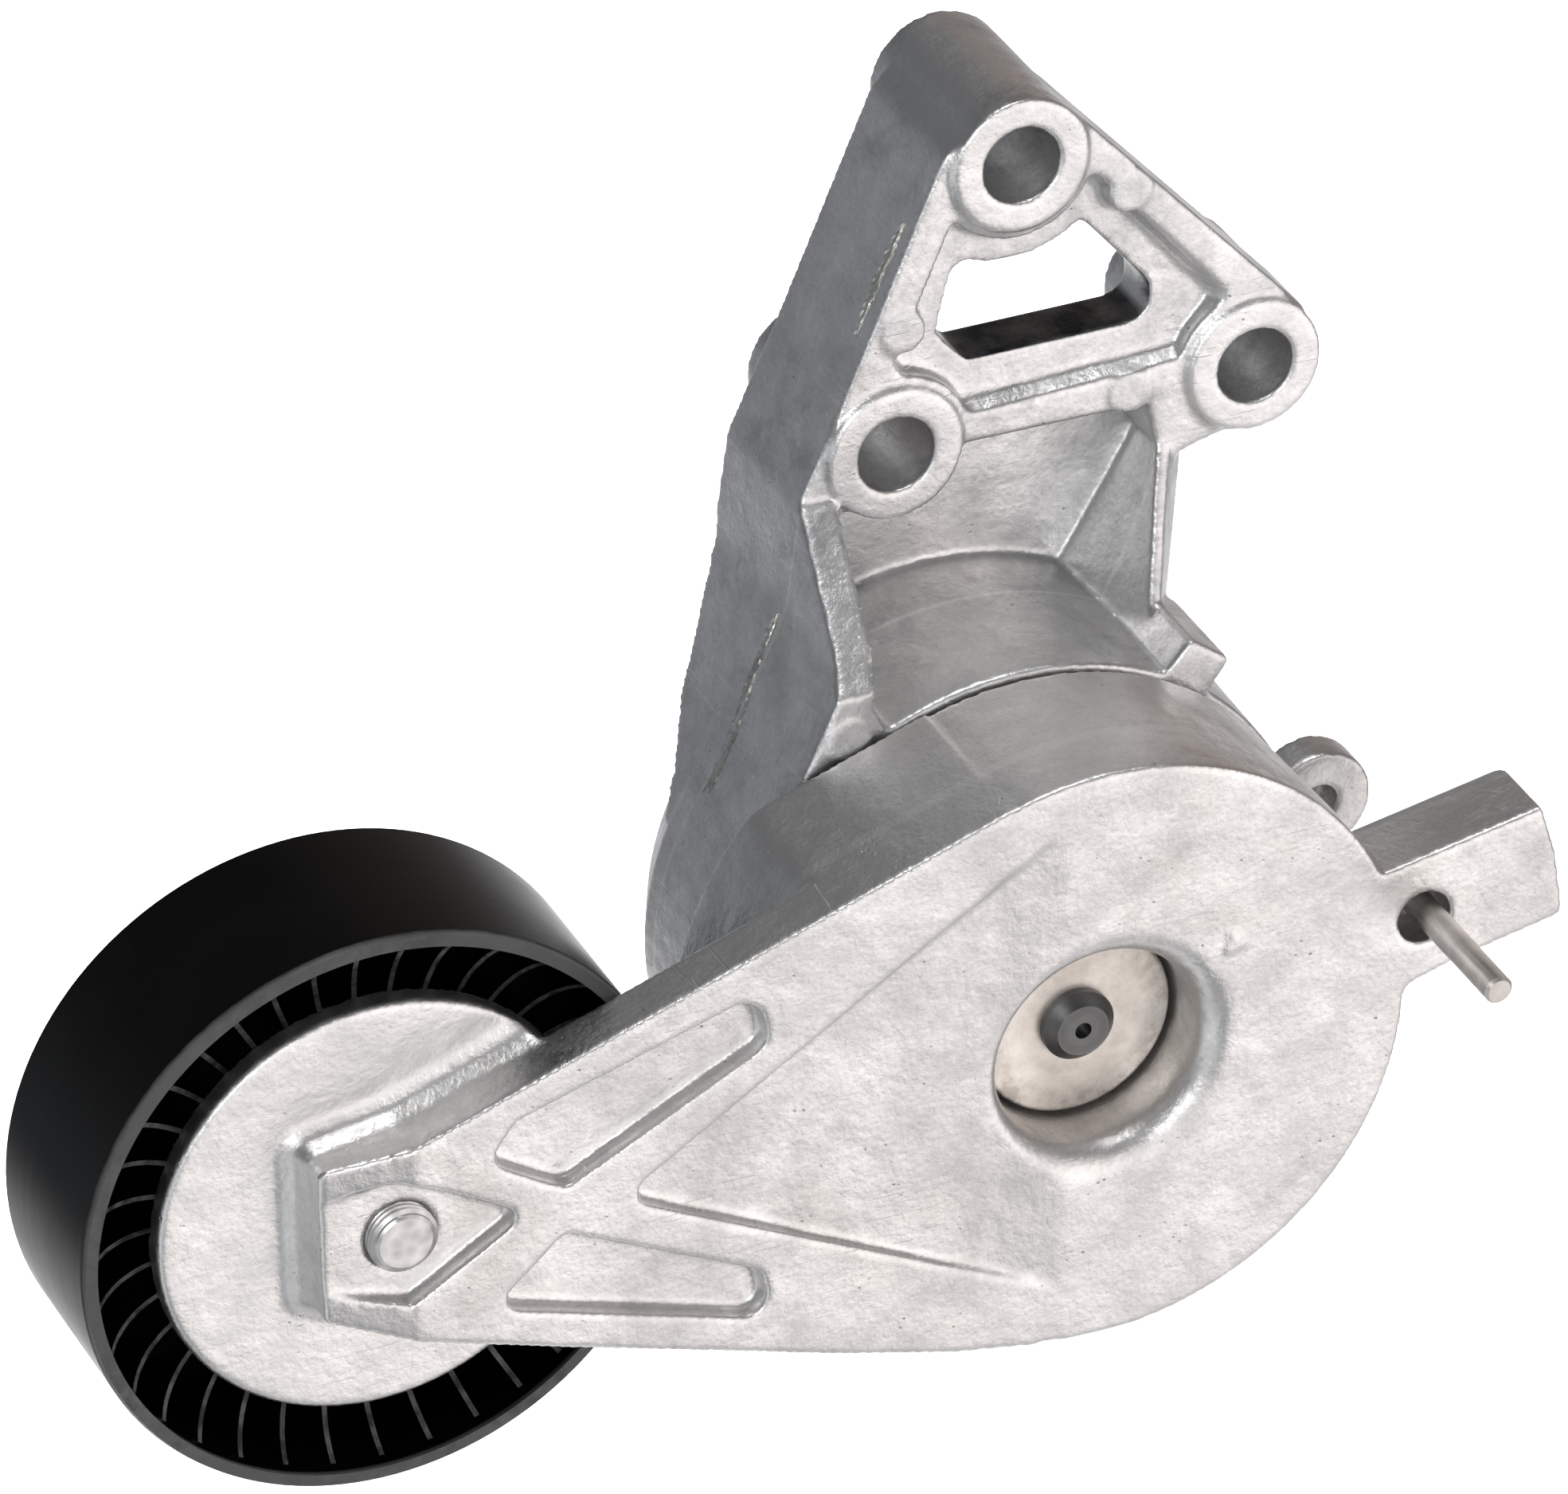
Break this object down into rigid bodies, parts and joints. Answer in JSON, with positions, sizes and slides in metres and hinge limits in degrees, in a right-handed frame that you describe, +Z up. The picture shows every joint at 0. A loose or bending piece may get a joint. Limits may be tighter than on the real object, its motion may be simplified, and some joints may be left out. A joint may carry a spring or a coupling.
{
  "type": "belt tensioner",
  "caption": "Spring-loaded accessory belt tensioner: a cast bracket with a spring cup, a pivoting arm and a smooth idler pulley on a ball bearing.",
  "frame": {"origin": "on the arm's pivot axis, in the plane of the backs of the three bolt bosses", "axes": "+Y along the pivot axis towards the engine, so the front looks to -Y; +X to the right seen from the front, away from the pulley; +Z up"},
  "size_m": [0.1748, 0.0798, 0.1356],
  "materials": {
    "bracket_casting": "satin as-cast aluminium, mottled",
    "arm_casting": "satin as-cast aluminium, mottled",
    "dark_steel": "dark oiled steel",
    "washer_steel": "dull yellowish steel",
    "bush_plastic": "matte bearing plastic",
    "damper_plastic": "matte filled nylon",
    "spring_steel": "oiled spring steel",
    "pulley_plastic": "glossy black moulded nylon",
    "bearing_steel": "polished bearing steel",
    "cage_steel": "pressed steel",
    "seal_rubber": "moulded rubber",
    "zinc_steel": "zinc-plated pressed steel",
    "bolt_zinc": "zinc-plated steel",
    "pin_steel": "drawn steel wire"
  },
  "bodies": {
    "bracket": {"base_housing": "bracket_casting", "pivot_shaft": "dark_steel", "thrust_washer": "washer_steel", "friction_disc": "bush_plastic", "torsion_spring": "spring_steel", "spring_seat_rear": "damper_plastic"},
    "arm": {"tensioner_arm": "arm_casting", "pivot_bush_front": "bush_plastic", "pivot_bush_rear": "bush_plastic", "damper_ring": "damper_plastic", "spring_seat_front": "damper_plastic", "bearing_inner_ring": "bearing_steel", "bearing_sleeve": "cage_steel", "dust_shield_rear": "zinc_steel", "pulley_bolt": "bolt_zinc"},
    "pulley": {"idler_pulley": "pulley_plastic", "bearing_outer_ring": "bearing_steel", "bearing_seal_front": "seal_rubber", "bearing_seal_rear": "seal_rubber"},
    "cage": {"bearing_cage": "cage_steel", "bearing_balls": "bearing_steel"},
    "pin": {"locking_pin": "pin_steel"}
  },
  "joints": [
    {"name": "arm_pivot", "type": "hinge", "parent": "bracket", "child": "arm", "pos_m": [0, 0, 0], "axis": [0, -1, 0], "range_deg": [-3, 30], "stiffness_Nm_per_rad": 14, "deforming": ["torsion_spring"]},
    {"name": "pulley_spin", "type": "hinge", "parent": "arm", "child": "pulley", "pos_m": [-0.08345, 0, -0.00206], "axis": [0, -1, 0], "continuous": true},
    {"name": "bearing_cage_spin", "type": "hinge", "parent": "arm", "child": "cage", "pos_m": [-0.08345, 0, -0.00206], "axis": [0, -1, 0], "continuous": true},
    {"name": "locking_pin_slide", "type": "slide", "parent": "arm", "child": "pin", "axis": [0, -1, 0], "range_m": [0, 0.04]}
  ],
  "couplings": [
    {"joint": "bearing_cage_spin", "follows": "pulley_spin", "ratio": 0.618}
  ]
}
